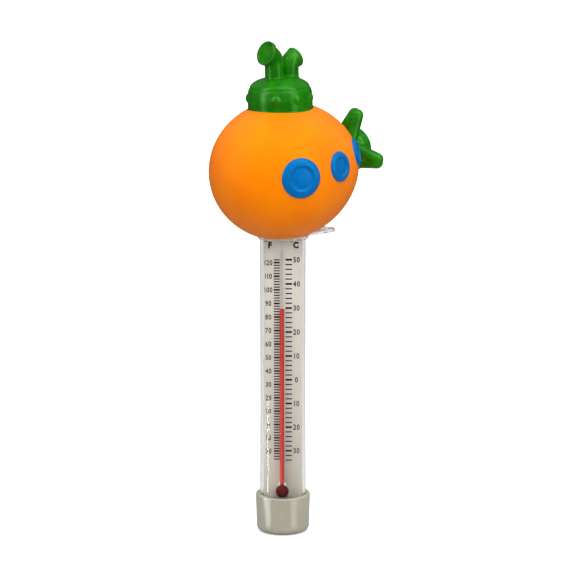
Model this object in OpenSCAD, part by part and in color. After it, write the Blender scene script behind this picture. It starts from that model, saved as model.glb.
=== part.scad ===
// Floating pool thermometer: a hollow toy submarine float on a clear tube that
// holds a spirit thermometer. Origin on the tube's axis at the flat bottom of
// the end cap, +Z up. The scale faces -Y. Millimetres.

/* [Float] */
// Direction of the nose, in degrees left of straight ahead of the scale
nose_heading = 47; // [30:1:60]
// Height of the float's centre above the bottom of the cap
float_height = 157.9; // [150:0.1:166]
// How far the float's centre sits from the tube's axis, towards the tail
float_offset = 1.9; // [0:0.1:3]
// Nose-down pitch of the float
float_pitch = 5.6; // [0:0.1:8]
// Half the length of the hull
hull_half_length = 34.6; // [33:0.1:38]
// Radius of the hull at its middle
hull_radius = 29.5; // [28:0.1:31]
// How much slimmer the tail is than the nose
hull_egg = 0.083; // [0:0.001:0.12]
// Wall of the vinyl moulding
float_wall = 2; // [1.5:0.1:2.5]

/* [Conning tower] */
// Nose-down pitch of the tower
tower_pitch = 2.4; // [0:0.1:6]
// Place of the tower's axis along the hull, nose negative
tower_shift = -2.2; // [-3:0.1:3]
// Radius of the riveted band
band_radius = 13.7; // [13:0.1:15]
// Radius of the ridge at the shoulder
ridge_radius = 12.7; // [11:0.05:13]
// Height of the foot of the shoulder above the float's centre
shoulder_foot = 30; // [29:0.5:31]
// Height of the ridge above the float's centre
ridge_height = 34.9; // [34:0.1:37]
// Rise of the crown above the ridge
crown_rise = 4.9; // [2:0.1:6]
// Angle between neighbouring rivets
rivet_pitch = 40; // [36:1:45]
// Radius of the ball that each rivet head is cut from
rivet_ball = 2.6; // [2:0.1:3]
// How far a rivet head stands proud of the band
rivet_proud = 0.8; // [0.4:0.1:1]

/* [Cowls] */
// Radius of a cowl's stem
cowl_radius = 4.05; // [3.5:0.05:4.1]
// Radius of the round face of the fore and the aft cowl
face_radius = [5.25, 4.5]; // [4.4:0.05:5.6]
// Upward tilt of a cowl's face
face_tilt = 22; // [10:1:35]
// Radius of the bend at the top of a stem
bend_radius = 4.6; // [4.5:0.1:5]
// Distance from the corner of the bend to the face, for the fore and the aft cowl
face_reach = [5.2, 4.4]; // [4.3:0.1:6]
// Thickness of the rim of the fore and the aft cowl
face_rim = [1.6, 0.9]; // [0.8:0.1:1.6]
// Place of the fore cowl's stem from the tower's axis, and the height of its bend's corner
fore_cowl = [-2.7, 48.3]; // [-6:0.1:52]
// Place of the aft cowl's stem from the tower's axis, and the height of its bend's corner
aft_cowl = [5.7, 45.3]; // [4:0.1:52]

/* [Propeller] */
// Height of the propeller's axis above the hull's
propeller_lift = 1.6; // [0:0.1:3]
// Turn of the whole propeller from upright
propeller_turn = 15; // [0:1:30]
// Distance of the hub's middle from the hull's middle
hub_station = 39.5; // [38.5:0.1:41]
// Radius of the hub
hub_radius = 9.7; // [8:0.1:10]
// Thickness of the hub as a share of its width
hub_flatness = 0.73; // [0.7:0.01:0.9]
// Where the blades' centre lines meet, from the hull's middle
blade_station = 32; // [31:0.1:34]
// Lean of the blades away from the hull
blade_rake = 25; // [15:1:30]
// Distance along a blade to the middle of its round tip
blade_length = 17.4; // [15:0.1:19]
// Radius of a blade's tip
tip_radius = 2.7; // [2.3:0.1:3.2]
// Radius of each of a blade's two lobes at its root
root_radius = 2.6; // [2.2:0.1:3]
// Distance of each lobe from the middle of its blade, at the root and at the tip
lobe_spread = [3.2, 0.8]; // [0.4:0.1:4]

/* [Portholes] */
// Radius of the fore, middle and aft porthole
porthole_radius = [8.45, 6.45, 6.05]; // [5:0.05:9]
// Station of each porthole along the hull, nose negative
porthole_station = [-16, 4.7, 23.6]; // [-20:0.1:24]
// Height of each porthole above the hull's axis
porthole_height = [1.9, 3.1, 4.8]; // [0:0.1:8]
// How much further aft the portholes are on the port side
port_shift = 3; // [0:0.5:3]
// Height of a porthole's ring above the hull
ring_rise = 1.2; // [0.8:0.1:2]
// Height of a porthole's dished middle above the hull
dish_rise = 0.4; // [0.3:0.05:0.7]

/* [Tube] */
// Outer diameter of the tube over most of its length
tube_diameter = 19.5; // [19:0.1:20]
// Outer diameter of the tube at its foot
tube_foot_diameter = 20.1; // [19.6:0.1:20.2]
// Height at which the tube's flare starts
flare_height = 56; // [40:1:80]
// Wall of the tube
tube_wall = 1.2; // [1:0.1:1.4]
// Height of the tube's top end, inside the float
tube_top = 137; // [135:0.5:138]

/* [Tether collar] */
// Height of the underside of the collar
collar_height = 128.6; // [128.4:0.1:128.7]
// Thickness of the collar and its ear
collar_thickness = 1.4; // [1:0.1:1.5]
// Width of the collar's ring outside the tube
collar_width = 1.1; // [0.8:0.1:1.2]
// Distance of the eye from the tube's axis
eye_distance = 24.4; // [22:0.1:27]
// Radius of the eye for the cord
eye_radius = 2; // [1.5:0.1:2.5]
// Half the width of the ear, and the radius of its end
ear_radius = 4.8; // [4.5:0.1:6]

/* [End cap] */
// Height of the cap
cap_height = 16.4; // [15:0.1:18]
// Radius of the cap at its rim
cap_rim_radius = 11.85; // [11.6:0.05:12.5]
// Radius of the cap just above its bottom edge
cap_foot_radius = 11.35; // [11.2:0.05:12]
// Thickness of the cap's floor
cap_floor = 3; // [2:0.5:4]

/* [Thermometer] */
// Distance of the glass stem's axis to the left of the tube's axis
stem_side = 0.35; // [0:0.05:0.6]
// Outer radius of the glass stem
stem_radius = 1.45; // [1.3:0.05:1.6]
// Radius of the stem's bore
bore_radius = 1; // [0.8:0.05:1.1]
// Height of the bulb's middle
bulb_height = 17.4; // [17:0.1:18]
// Radius of the spirit in the bulb
bulb_radius = 2.8; // [2.4:0.05:2.8]
// Height of the zero Celsius mark
zero_height = 66.7; // [66:0.1:68]
// Height of one degree Celsius on the scale
degree_height = 1.05; // [1.04:0.01:1.06]
// Reading at rest, in degrees Celsius
reading = 30; // [-20:1:45]
// Width of the scale card
card_width = 17; // [15:0.1:17]
// Thickness of the scale card
card_thickness = 0.6; // [0.4:0.1:0.8]

/* [Hidden] */

$fn = 96;
starboard = -1;
port = 1;
float_green = "darkgreen";
float_blue = "royalblue";
spirit_red = "firebrick";

hull_steps = 40;
hull_blunt = 0.046;
tube_radius = tube_diameter / 2;
tube_bore = tube_radius - tube_wall;
tube_foot_bore = tube_foot_diameter / 2 - tube_wall;
join = 0.03;
sleeve_wall = 1.8;
sleeve_top = 140.5;
seat_gap = 0.1;
plug_flange = 1.6;
plug_depth = 6;
glass_wall = 0.3;
neck_bore = 0.85;
neck_top = bulb_height + 3.4;
stem_top = zero_height + 50 * degree_height + 4;
stem_depth = stem_radius + card_thickness / 2;
spirit_clearance = 0.05;
meniscus_height = 0.7;
spirit_top = zero_height + reading * degree_height;
cushion_top = bulb_height - bulb_radius - glass_wall - 0.3;
cushion_height = 2.6;
slug_radius = 8;
slug_gap = 0.2;
card_top = 130.4;
blade_root = 7;
web_inset = 1.4;
card_hole = 2.85;

// The hull is a body of revolution. t runs from -1 at the nose to 1 at the tail.
function hull_section(t, inset) =
    (hull_radius - inset) * sqrt(1 - t * t) * (1 - hull_egg * t - hull_blunt * t * t);
function hull_radius_at(station) = hull_section(station / hull_half_length, 0);
function hull_slope(station) =
    (hull_radius_at(station + 0.1) - hull_radius_at(station - 0.1)) / 0.2;
function hull_reach(station, height) =
    sqrt(pow(hull_radius_at(station), 2) - height * height);
function hull_point(station, height, side) =
    [station, side * hull_reach(station, height), height];
function hull_normal(station, height, side) =
    [-hull_slope(station), side * hull_reach(station, height) / hull_radius_at(station),
        height / hull_radius_at(station)];

// Frame of the float: +X to the tail, -Y to starboard, +Z up.
module at_float() {
    translate([float_offset * sin(nose_heading), float_offset * cos(nose_heading), float_height])
        rotate([0, 0, 90 - nose_heading])
            children();
}

module at_hull() {
    at_float() rotate([0, -float_pitch, 0]) children();
}

module at_tower() {
    at_float() translate([tower_shift, 0, 0]) rotate([0, -tower_pitch, 0]) children();
}

// Turns +Z to lie along a direction.
module along(direction) {
    rotate([0, acos(direction.z / norm(direction)), atan2(direction.y, direction.x)]) children();
}

module hull_solid(inset = 0) {
    outline = [for (i = [0 : hull_steps]) let (t = -cos(180 * i / hull_steps))
        [hull_section(t, inset), (hull_half_length - inset) * t]];
    at_hull() rotate([0, 90, 0]) rotate_extrude($fn = 180) polygon(outline);
}

module upright(radius, bottom, top) {
    translate([0, 0, bottom]) cylinder(r = radius, h = top - bottom);
}

module float_hull() {
    color("darkorange") difference() {
        hull_solid();
        difference() {
            hull_solid(float_wall);
            upright(tube_radius + sleeve_wall, float_height - 40, sleeve_top);
        }
        upright(tube_radius, float_height - 40, sleeve_top + 1);
        upright(tube_radius + collar_width + seat_gap, float_height - 40,
            collar_height + collar_thickness + seat_gap);
    }
}

// The tower's outline: a straight band, a rounded shoulder up to the ridge and a domed crown.
module tower_solid(inset = 0) {
    shoulder = [for (a = [0 : 15 : 90])
        [ridge_radius - inset + (band_radius - ridge_radius) * cos(a),
            shoulder_foot + (ridge_height - inset - shoulder_foot) * sin(a)]];
    crown = [for (a = [10 : 10 : 90])
        [(ridge_radius - inset) * cos(a), ridge_height - inset + crown_rise * sin(a)]];
    base = hull_radius / 2 - inset;
    at_tower() rotate([0, 0, 50]) rotate_extrude()
        polygon(concat([[0, base], [band_radius - inset, base]], shoulder, crown));
}

module conning_tower() {
    color(float_green) difference() {
        union() {
            tower_solid();
            at_tower() for (turn = [-4 : 4])
                if (turn != 0)
                    rotate([0, 0, 180 + turn * rivet_pitch])
                        translate([band_radius + rivet_proud - rivet_ball, 0, shoulder_foot + 0.9])
                            sphere(r = rivet_ball, $fn = 32);
        }
        tower_solid(float_wall);
        hull_solid();
    }
}

// A solid horn: stem, bend and flared mouth with a dished face. It faces +X.
module cowl_horn(corner_height, radius, reach, rim) {
    bend = 90 - face_tilt;
    bend_length = bend_radius * tan(bend / 2);
    flare = reach - bend_length - rim;
    bend_foot = corner_height - bend_length;
    rotate([0, 0, 90]) upright(cowl_radius, ridge_height, bend_foot + join);
    translate([bend_radius, 0, bend_foot]) rotate([90, 0, 0]) rotate([0, 0, 180 - bend])
        rotate_extrude(angle = bend) translate([bend_radius, 0]) circle(r = cowl_radius - join);
    translate([0, 0, corner_height]) rotate([0, bend, 0]) translate([0, 0, bend_length])
        rotate([0, 0, 90]) rotate_extrude()
            polygon([[0, -join], [cowl_radius, -join], [radius - 0.2, flare], [radius, flare + 0.3],
                [radius, flare + rim - 0.3], [radius - 0.3, flare + rim],
                [radius - 0.7, flare + rim], [radius - 1.1, flare + rim - 0.5],
                [0, flare + rim - 0.5]]);
}

module cowl(index, place, facing) {
    color(float_green) difference() {
        at_tower() translate([place[0], 0, 0]) rotate([0, 0, facing])
            cowl_horn(place[1], face_radius[index], face_reach[index], face_rim[index]);
        tower_solid();
    }
}

module cowl_fore() {
    cowl(0, fore_cowl, 180);
}

module cowl_aft() {
    cowl(1, aft_cowl, 0);
}

module lobe_ends(side, inset) {
    translate([0, side * lobe_spread[0], blade_root]) sphere(r = root_radius - inset, $fn = 20);
    translate([0, side * lobe_spread[1], blade_length]) sphere(r = tip_radius - inset, $fn = 20);
}

// A blade is two round lobes that part towards its root, with a thinner web between them.
module blade() {
    for (side = [-1, 1])
        hull() lobe_ends(side, 0);
    hull() {
        lobe_ends(-1, web_inset);
        lobe_ends(1, web_inset);
    }
}

module propeller() {
    color(float_green) difference() {
        at_hull() translate([0, 0, propeller_lift]) {
            translate([hub_station, 0, 0]) scale([hub_flatness, 1, 1]) sphere(r = hub_radius, $fn = 40);
            for (quarter = [0 : 90 : 270])
                translate([blade_station, 0, 0]) rotate([quarter + propeller_turn, 0, 0])
                    rotate([0, blade_rake, 0]) blade();
        }
        hull_solid();
    }
}

// Height of a porthole above the hull, with u from 0 at its middle to 1 at its edge.
function porthole_rise(u) =
    u < 0.5 ? dish_rise :
    u < 0.68 ? dish_rise + (ring_rise - dish_rise) * (1 - cos(180 * (u - 0.5) / 0.18)) / 2 :
    u < 0.78 ? ring_rise :
    ring_rise * sqrt(1 - pow((u - 0.78) / 0.22, 2));

module porthole(index, side) {
    radius = porthole_radius[index];
    station = porthole_station[index] + (side == port ? port_shift : 0);
    sag = radius * radius / (2 * hull_radius);
    face = [for (u = [0.5, 0.56, 0.62, 0.68, 0.78, 0.86, 0.92, 0.97, 1])
        [radius * u, porthole_rise(u) - sag * u * u]];
    color(float_blue) difference() {
        at_hull() translate(hull_point(station, porthole_height[index], side))
            along(hull_normal(station, porthole_height[index], side))
                rotate_extrude()
                    polygon(concat([[0, dish_rise]], face, [[radius, -sag - 1.5], [0, -sag - 1.5]]));
        hull_solid();
    }
}

module porthole_stbd_fore() {
    porthole(0, starboard);
}

module porthole_stbd_mid() {
    porthole(1, starboard);
}

module porthole_stbd_aft() {
    porthole(2, starboard);
}

module porthole_port_fore() {
    porthole(0, port);
}

module porthole_port_mid() {
    porthole(1, port);
}

module porthole_port_aft() {
    porthole(2, port);
}

module tether_collar() {
    color("ghostwhite", 0.8) translate([0, 0, collar_height]) rotate([0, 0, 90 - nose_heading])
        difference() {
            union() {
                cylinder(r = tube_radius + collar_width, h = collar_thickness);
                translate([0, -ear_radius, 0])
                    cube([eye_distance, 2 * ear_radius, collar_thickness]);
                translate([eye_distance, 0, 0]) cylinder(r = ear_radius, h = collar_thickness);
            }
            translate([0, 0, -1]) cylinder(r = tube_radius, h = collar_thickness + 2);
            translate([eye_distance, 0, -1]) cylinder(r = eye_radius, h = collar_thickness + 2);
        }
}

module head_plug() {
    color("gainsboro") difference() {
        union() {
            upright(tube_bore, tube_top - plug_depth, tube_top);
            upright(tube_radius, tube_top, tube_top + plug_flange);
        }
        upright(tube_bore - 1.5, tube_top - plug_depth - 1, tube_top - 1);
    }
}

module tube() {
    color("aliceblue", 0.35) rotate_extrude()
        polygon([[tube_foot_bore, cap_floor], [tube_foot_diameter / 2, cap_floor],
            [tube_foot_diameter / 2, cap_height], [tube_radius, flare_height], [tube_radius, tube_top],
            [tube_bore, tube_top], [tube_bore, flare_height], [tube_foot_bore, cap_height]]);
}

module at_stem() {
    translate([-stem_side, -stem_depth, 0]) children();
}

// The card has a hole for the bulb, with a taper above it for the stem's shoulder.
module scale_card() {
    color("linen") difference() {
        translate([-card_width / 2, -card_thickness / 2, cushion_top])
            cube([card_width, card_thickness, card_top - cushion_top]);
        at_stem() translate([0, stem_depth + 1, bulb_height]) rotate([90, 0, 0])
            cylinder(r = card_hole, h = 2);
        at_stem() translate([0, stem_depth + 1, bulb_height]) rotate([90, 0, 0]) linear_extrude(2)
            polygon([[-2.3, 1.5], [2.3, 1.5], [0.9, 4.2], [-0.9, 4.2]]);
    }
}

module glass_stem() {
    color("white", 0.4) at_stem() difference() {
        union() {
            translate([0, 0, bulb_height]) sphere(r = bulb_radius + glass_wall, $fn = 64);
            translate([0, 0, bulb_height + bulb_radius - 1])
                cylinder(r1 = 2.4, r2 = stem_radius - 0.05, h = 2.6);
            upright(stem_radius, bulb_height + bulb_radius, stem_top);
            translate([0, 0, stem_top]) sphere(r = stem_radius, $fn = 48);
        }
        translate([0, 0, bulb_height]) sphere(r = bulb_radius, $fn = 64);
        upright(neck_bore, bulb_height, neck_top + 0.1);
        upright(bore_radius, neck_top, stem_top);
    }
}

module spirit_bulb() {
    color(spirit_red) at_stem() union() {
        translate([0, 0, bulb_height]) sphere(r = bulb_radius, $fn = 64);
        upright(neck_bore, bulb_height, neck_top);
    }
}

module spirit_thread() {
    color(spirit_red) at_stem()
        upright(bore_radius - spirit_clearance, neck_top, spirit_top - meniscus_height - 0.05);
}

// The top of the thread, the one piece that moves: it climbs and falls along the scale.
module meniscus() {
    radius = bore_radius - spirit_clearance;
    color(spirit_red) at_stem() translate([0, 0, spirit_top]) rotate_extrude()
        polygon([[0, -meniscus_height], [radius, -meniscus_height], [radius, -0.25],
            for (a = [15 : 15 : 90]) [radius * cos(a), -0.25 + 0.25 * sin(a)]]);
}

module bulb_cushion() {
    color("dimgray") upright(slug_radius, cushion_top - cushion_height, cushion_top);
}

module ballast_slug() {
    color("slategray") upright(slug_radius, cap_floor + slug_gap, cushion_top - cushion_height);
}

module end_cap() {
    foot_round = 2.2;
    color("darkgray") rotate_extrude()
        polygon(concat(
            [[0, 0]],
            [for (a = [0 : 15 : 90]) [cap_foot_radius - foot_round + foot_round * sin(a),
                foot_round - foot_round * cos(a)]],
            [[cap_rim_radius, cap_height - 0.4], [cap_rim_radius - 0.4, cap_height],
                [tube_foot_diameter / 2, cap_height], [tube_foot_diameter / 2, cap_floor],
                [0, cap_floor]]));
}

float_hull();
conning_tower();
cowl_fore();
cowl_aft();
propeller();
porthole_stbd_fore();
porthole_stbd_mid();
porthole_stbd_aft();
porthole_port_fore();
porthole_port_mid();
porthole_port_aft();
tether_collar();
head_plug();
tube();
scale_card();
glass_stem();
spirit_bulb();
spirit_thread();
meniscus();
bulb_cushion();
ballast_slug();
end_cap();
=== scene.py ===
"""Floating pool thermometer: the visual model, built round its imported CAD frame.

Lengths are millimetres in the part's own frame: the origin on the tube's axis at
the flat bottom of the end cap, +Z up, the scale facing -Y. Pieces become metres
when their meshes are made.
"""

import math

import bmesh
import bpy
import numpy as np
from mathutils import Matrix, Vector


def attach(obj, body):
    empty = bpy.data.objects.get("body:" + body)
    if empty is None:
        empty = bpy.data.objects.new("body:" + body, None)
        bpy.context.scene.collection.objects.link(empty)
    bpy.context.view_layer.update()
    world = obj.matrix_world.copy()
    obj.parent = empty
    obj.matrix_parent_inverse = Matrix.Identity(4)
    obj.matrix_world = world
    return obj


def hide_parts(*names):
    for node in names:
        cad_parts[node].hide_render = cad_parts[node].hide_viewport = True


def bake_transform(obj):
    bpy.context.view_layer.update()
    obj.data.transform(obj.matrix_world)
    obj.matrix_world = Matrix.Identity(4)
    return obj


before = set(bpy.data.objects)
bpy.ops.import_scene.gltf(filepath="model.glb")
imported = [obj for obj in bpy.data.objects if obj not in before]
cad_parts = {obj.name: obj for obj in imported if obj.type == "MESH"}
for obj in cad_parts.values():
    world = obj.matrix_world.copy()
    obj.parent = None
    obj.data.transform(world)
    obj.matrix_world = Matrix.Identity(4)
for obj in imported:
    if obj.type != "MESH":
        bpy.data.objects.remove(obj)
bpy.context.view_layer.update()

MM = 0.001
DEGREE = math.pi / 180
UP = np.array([0.0, 0.0, 1.0])

# -------------------------------- sizes
# The float. Its frame has +X to the tail, -Y to starboard and +Z up.
NOSE_HEADING = 47 * DEGREE
FLOAT_HEIGHT = 157.9
FLOAT_OFFSET = 1.9
FLOAT_PITCH = 5.6 * DEGREE
HULL_HALF_LENGTH = 34.57  # this and the radius are a hair less than the CAD's
HULL_RADIUS = 29.47
HULL_EGG = 0.083
HULL_BLUNT = 0.046
FLOAT_WALL = 2.0

# The conning tower
TOWER_PITCH = 2.4 * DEGREE
TOWER_SHIFT = -2.2
BAND_RADIUS = 13.7
RIDGE_RADIUS = 12.7
SHOULDER_FOOT = 30.0
RIDGE_HEIGHT = 34.9
CROWN_RISE = 4.9
RIVET_PITCH = 40 * DEGREE
RIVET_TURNS = [-4, -3, -2, -1, 1, 2, 3, 4]
RIVET_BALL = 2.6
RIVET_PROUD = 0.8
RIVET_HEIGHT = 30.9

# The cowls. For each: the place of its stem, the height of its bend's corner, the direction
# that it faces, and the radius, the reach and the rim's thickness of its face.
COWL_RADIUS = 4.05
FACE_TILT = 22 * DEGREE
BEND_RADIUS = 4.6
FORE_COWL = (-2.7, 48.3, math.pi, 5.25, 5.2, 1.6)
AFT_COWL = (5.7, 45.3, 0.0, 4.5, 4.4, 0.9)

# The propeller
PROPELLER_LIFT = 1.6
PROPELLER_TURN = 15 * DEGREE
HUB_STATION = 39.5
HUB_RADIUS = 9.7
HUB_FLATNESS = 0.73
BLADE_STATION = 32.0
BLADE_RAKE = 25 * DEGREE
BLADE_ROOT = 7.0
BLADE_LENGTH = 17.4
TIP_RADIUS = 2.7
ROOT_RADIUS = 2.6
ROOT_SPREAD = 3.2
TIP_SPREAD = 0.8
WEB_INSET = 1.4

# The portholes, fore to aft
PORTHOLE_NAMES = ["fore", "mid", "aft"]
PORTHOLE_RADIUS = [8.45, 6.45, 6.05]
PORTHOLE_STATION = [-16.0, 4.7, 23.6]
PORTHOLE_HEIGHT = [1.9, 3.1, 4.8]
PORT_SHIFT = 3.0
RING_RISE = 1.14
DISH_RISE = 0.4
DISH_EDGE = 0.5  # these three are shares of a porthole's radius
RING_START = 0.68
RING_END = 0.76

# The tube, the collar and the cap
TUBE_RADIUS = 9.75
TUBE_FOOT_RADIUS = 10.05
TUBE_WALL = 1.2
TUBE_TOP = 137.0
FLARE_HEIGHT = 56.0
SLEEVE_RADIUS = 11.55
SLEEVE_TOP = 140.5
SEAT_RADIUS = 10.95
SEAT_TOP = 130.1
COLLAR_HEIGHT = 128.6
COLLAR_THICKNESS = 1.4
COLLAR_RADIUS = 10.85
EYE_DISTANCE = 24.4
EYE_RADIUS = 2.0
EAR_RADIUS = 4.8
CAP_HEIGHT = 16.4
CAP_RIM_RADIUS = 11.85
CAP_FOOT_RADIUS = 11.35
CAP_FLOOR = 3.0
CAP_ROUND = 2.2

# The thermometer
STEM_AXIS = (-0.35, -1.75)
STEM_RADIUS = 1.45
STEM_TOP = 123.2
BORE_RADIUS = 1.0
BULB_HEIGHT = 17.4
BULB_RADIUS = 2.8
GLASS_WALL = 0.3
NECK_BORE = 0.85
NECK_TOP = 20.8
THREAD_RADIUS = 0.95
THREAD_TOP = 97.45
MENISCUS_FOOT = 97.5
MENISCUS_TOP = 98.2
CARD_FRONT = -0.3

# The scale and its print
ZERO_CELSIUS = 66.7
DEGREE_CELSIUS = 1.05
FAHRENHEIT_120 = 117.96
FAHRENHEIT_STEP = 0.5923
BOLD_TICK = 0.42  # half the thickness of a tick at every ten degrees
PLAIN_TICK = 0.27
FAHRENHEIT_SPAN = (-3.89, -1.33)  # left and right ends of the ticks
CELSIUS_SPAN = (1.11, 3.93)
FAHRENHEIT_MIDDLE = -6.25  # middle of the column of figures
CELSIUS_MIDDLE = 5.84
FAHRENHEIT_FIGURE = 2.3  # height of the figures
CELSIUS_FIGURE = 2.45
HEADING_FOOT = 124.1
HEADING_FIGURE = 2.9
DEGREE_SIGNS = (-7.15, 3.75)
DEGREE_SIGN_HEIGHT = 127.4
DEGREE_SIGN_RADIUS = (0.66, 0.28)
NARROWEST = 0.34  # width of the narrowest character's cell, as a share of the height
PRINT_DEPTH = 0.03
PRINT_SINK = 0.01  # how far the print reaches into the card

FIT_GAP = 0.03  # between surfaces that touch, so that they never coincide


# -------------------------------- camera
def aim(thing, place, target):
    """Puts a camera or a light at a place, looking at a target."""
    thing.location = place
    thing.rotation_euler = (target - place).to_track_quat("-Z", "Y").to_euler()


def add_object(name, data):
    made = bpy.data.objects.new(name, data)
    bpy.context.scene.collection.objects.link(made)
    return made


def add_camera():
    """A long lens a metre from the tube and slightly above it, level with the scale."""
    camera = add_object("camera", bpy.data.cameras.new("camera"))
    camera.data.lens = 146.2
    camera.data.sensor_width = 36
    camera.data.clip_start = 0.05
    camera.data.clip_end = 50
    distance = 1.0
    elevation = 10.88 * DEGREE
    target = Vector((0, 0, 0.1068))
    back = Vector((0, -math.cos(elevation), math.sin(elevation)))
    pan = Vector((0.0022, 0, 0))
    aim(camera, target + back * distance, target + pan)
    bpy.context.scene.camera = camera


# -------------------------------- shapes
def moved(points, matrix):
    """Points carried by a 4x4 matrix."""
    a = np.array(matrix)
    return points @ a[:3, :3].T + a[:3, 3]


# The hull and the tower each lean in the float's own frame
FLOAT_TURN = Matrix.Rotation(math.pi / 2 - NOSE_HEADING, 4, "Z")
FLOAT_FRAME = Matrix.Translation((0, 0, FLOAT_HEIGHT)) @ FLOAT_TURN @ Matrix.Translation((FLOAT_OFFSET, 0, 0))
HULL_FRAME = FLOAT_FRAME @ Matrix.Rotation(-FLOAT_PITCH, 4, "Y")
TOWER_FRAME = FLOAT_FRAME @ Matrix.Translation((TOWER_SHIFT, 0, 0)) @ Matrix.Rotation(-TOWER_PITCH, 4, "Y")


def around(columns):
    """Unit directions round a circle in the XY plane."""
    turn = 2 * math.pi * np.arange(columns) / columns
    return np.stack([np.cos(turn), np.sin(turn), 0 * turn], 1)


def hull_radius(station, inset=0.0):
    """The hull is a body of revolution, blunter at the nose than at the tail."""
    t = np.clip(station / (HULL_HALF_LENGTH - inset), -1, 1)
    return (HULL_RADIUS - inset) * np.sqrt(1 - t * t) * (1 - HULL_EGG * t - HULL_BLUNT * t * t)


def in_hull(points, inset=0.0):
    """Whether points in the part's frame are inside the hull's skin, or inset below it."""
    p = moved(points, HULL_FRAME.inverted())
    inside_ends = np.abs(p[:, 0]) < HULL_HALF_LENGTH - inset
    return inside_ends & (np.hypot(p[:, 1], p[:, 2]) < hull_radius(p[:, 0], inset))


def reach(starts, directions, inset=0.0, far=60.0):
    """Points where rays from inside the hull meet its skin."""
    directions = np.broadcast_to(directions, np.broadcast(starts, directions).shape)
    low = np.zeros(len(directions))
    high = np.full(len(directions), far)
    for _ in range(40):
        middle = (low + high) / 2
        inside = in_hull(starts + directions * middle[:, None], inset)
        low = np.where(inside, middle, low)
        high = np.where(inside, high, middle)
    return starts + directions * low[:, None]


def bent(start, corner, end, steps):
    """Rings that turn smoothly from start to end, pulled towards corner. Both ends are left out."""
    share = np.arange(1, steps) / steps
    return [(1 - s) ** 2 * start + 2 * s * (1 - s) * corner + s * s * end for s in share]


def between(start, end, steps):
    """Rings evenly spaced from start to end. Both ends are left out."""
    return [start + (end - start) * k / steps for k in range(1, steps)]


def rounded(corners, steps=6):
    """A profile through corners (across, along, radius), each turned into an arc."""
    points = []
    for i, (x, y, radius) in enumerate(corners):
        here = np.array([x, y], float)
        if radius == 0:
            points.append(here)
            continue
        back = np.array(corners[i - 1][:2]) - here
        ahead = np.array(corners[(i + 1) % len(corners)][:2]) - here
        back = back / np.linalg.norm(back)
        ahead = ahead / np.linalg.norm(ahead)
        half = math.acos(np.clip(back @ ahead, -1, 1)) / 2
        middle = here + (back + ahead) / np.linalg.norm(back + ahead) * radius / math.sin(half)
        first = here + back * radius / math.tan(half) - middle
        last = here + ahead * radius / math.tan(half) - middle
        sweep = math.atan2(first[0] * last[1] - first[1] * last[0], first @ last)
        for k in range(steps + 1):
            a = sweep * k / steps
            turn = np.array([[math.cos(a), -math.sin(a)], [math.sin(a), math.cos(a)]])
            points.append(middle + turn @ first)
    return points


def supported(profile, closed=False, margin=0.5):
    """The profile with a point added near each end of every long straight stretch.

    These keep the shading of the stretch straight where it meets a rounded corner.
    """
    points = []
    for i, here in enumerate(profile):
        points.append(here)
        if i + 1 == len(profile) and not closed:
            break
        span = np.array(profile[(i + 1) % len(profile)]) - np.array(here)
        length = np.linalg.norm(span)
        if length > 4 * margin:
            points += [np.array(here) + span * share for share in (margin / length, 1 - margin / length)]
    return points


def piece(name, mesh, sharp=35):
    """A smooth-shaded object from a mesh, with its normals outwards and its hard edges kept."""
    shape = bmesh.new()
    shape.from_mesh(mesh)
    bmesh.ops.recalc_face_normals(shape, faces=shape.faces)
    shape.to_mesh(mesh)
    shape.free()
    mesh.shade_smooth()
    mesh.set_sharp_from_angle(angle=sharp * DEGREE)
    return add_object(name, mesh)


def new_mesh(name, points, faces):
    """A mesh in metres from points in millimetres."""
    mesh = bpy.data.meshes.new(name)
    mesh.from_pydata((np.array(points) * MM).tolist(), [], faces)
    return mesh


def skin(name, rings, loop=False, sharp=35):
    """A surface through rings of points. A ring of one point is a pole, and loop joins the ends."""
    rings = [np.atleast_2d(ring) for ring in rings]
    starts = np.cumsum([0] + [len(ring) for ring in rings])
    count = len(rings)
    faces = []
    for a in range(count if loop else count - 1):
        b = (a + 1) % count
        wide = max(len(rings[a]), len(rings[b]))
        for i in range(wide):
            j = (i + 1) % wide
            near = [i, j] if len(rings[a]) > 1 else [0]
            away = [j, i] if len(rings[b]) > 1 else [0]
            faces.append([starts[a] + k for k in near] + [starts[b] + k for k in away])
    return piece(name, new_mesh(name, np.vstack(rings), faces), sharp)


def lathe_rings(profile, columns, centre=(0.0, 0.0)):
    """Rings about an upright axis, through a profile of (radius, height)."""
    axis = np.array([*centre, 0.0])
    directions = around(columns)
    return [
        axis + height * UP + (radius * directions if radius > 1e-6 else 0)
        for radius, height in profile
    ]


def lathe(name, profile, columns, matrix):
    """A closed body of revolution, carried by a 4x4 matrix."""
    return skin(name, [moved(ring, matrix) for ring in lathe_rings(profile, columns)])


def point_on(radius, height, angle):
    """A profile's point on an arc about the axis at that height, at an angle above the level."""
    return radius * math.cos(angle), height + radius * math.sin(angle)


def settled(thing):
    """The mesh of an object with its modifiers applied."""
    bpy.context.view_layer.update()
    graph = bpy.context.evaluated_depsgraph_get()
    return bpy.data.meshes.new_from_object(thing.evaluated_get(graph))


def discard(thing):
    """Removes a helper object and its data."""
    data = thing.data
    bpy.data.objects.remove(thing)
    if isinstance(data, bpy.types.Mesh):
        bpy.data.meshes.remove(data)
    else:
        bpy.data.curves.remove(data)


def joined(name, parts):
    """One mesh from those of several helper objects, which are removed."""
    shape = bmesh.new()
    for part in parts:
        shape.from_mesh(part.data)
        discard(part)
    mesh = bpy.data.meshes.new(name)
    shape.to_mesh(mesh)
    shape.free()
    return mesh


def weld(mesh):
    """Joins points that lie on each other, so that a converted curve is one closed surface."""
    shape = bmesh.new()
    shape.from_mesh(mesh)
    bmesh.ops.remove_doubles(shape, verts=shape.verts, dist=1e-7)
    shape.to_mesh(mesh)
    shape.free()


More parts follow.
